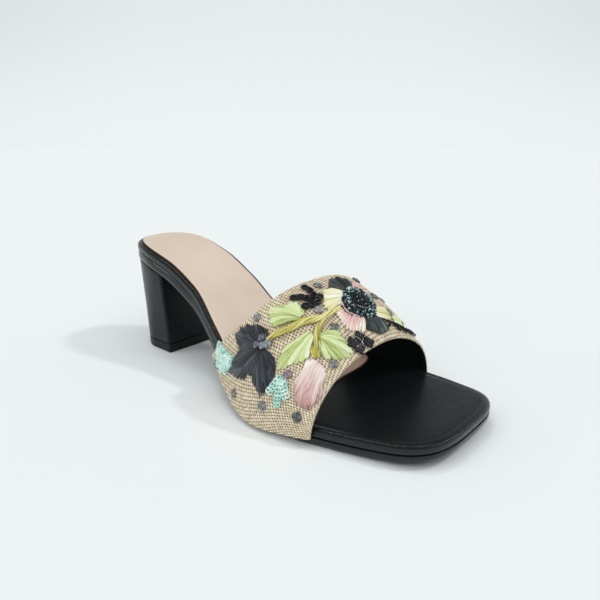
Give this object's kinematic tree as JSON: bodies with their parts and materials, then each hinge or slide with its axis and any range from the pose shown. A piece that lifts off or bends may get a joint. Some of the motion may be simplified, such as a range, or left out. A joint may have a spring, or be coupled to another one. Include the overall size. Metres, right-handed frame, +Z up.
{
  "type": "block heel mule sandal",
  "caption": "Slip-on mule sandal on a block heel, with a square open toe, a cushioned footbed and one broad woven strap with raised floral embroidery and bead work.",
  "frame": {"origin": "middle of the heel's bottom face, on the floor", "axes": "+X from the heel to the toe, +Y to the inner (big toe) side of this right shoe, +Z up from the floor that it stands on"},
  "size_m": [0.239, 0.1028, 0.0715],
  "materials": {
    "black_leather": "smooth satin",
    "sole_rubber": "satin",
    "nude_leather": "matte",
    "raffia_canvas": "coarse weave",
    "navy_thread": "silky raffia strands",
    "green_thread": "silky raffia strands",
    "pink_thread": "silky raffia strands",
    "aqua_thread": "satin thread",
    "olive_thread": "twisted thread",
    "petal_threads": "silky raffia strands",
    "black_beads": "glossy",
    "brooch_beads": "glossy"
  },
  "bodies": {
    "root": {"outsole": "sole_rubber", "footbed": "black_leather", "sock_lining": "nude_leather", "heel_block": "black_leather", "top_lift": "sole_rubber", "upper": "raffia_canvas", "flower_dark": "navy_thread", "leaf_rear": "green_thread", "leaf_middle": "green_thread", "leaf_front": "green_thread", "bud_pink": "pink_thread", "fan_rear": "aqua_thread", "fan_front": "aqua_thread", "sprig_rear": "black_beads", "sprig_front": "black_beads", "stem": "olive_thread", "brooch_petals": "petal_threads", "brooch": "brooch_beads"}
  },
  "joints": []
}
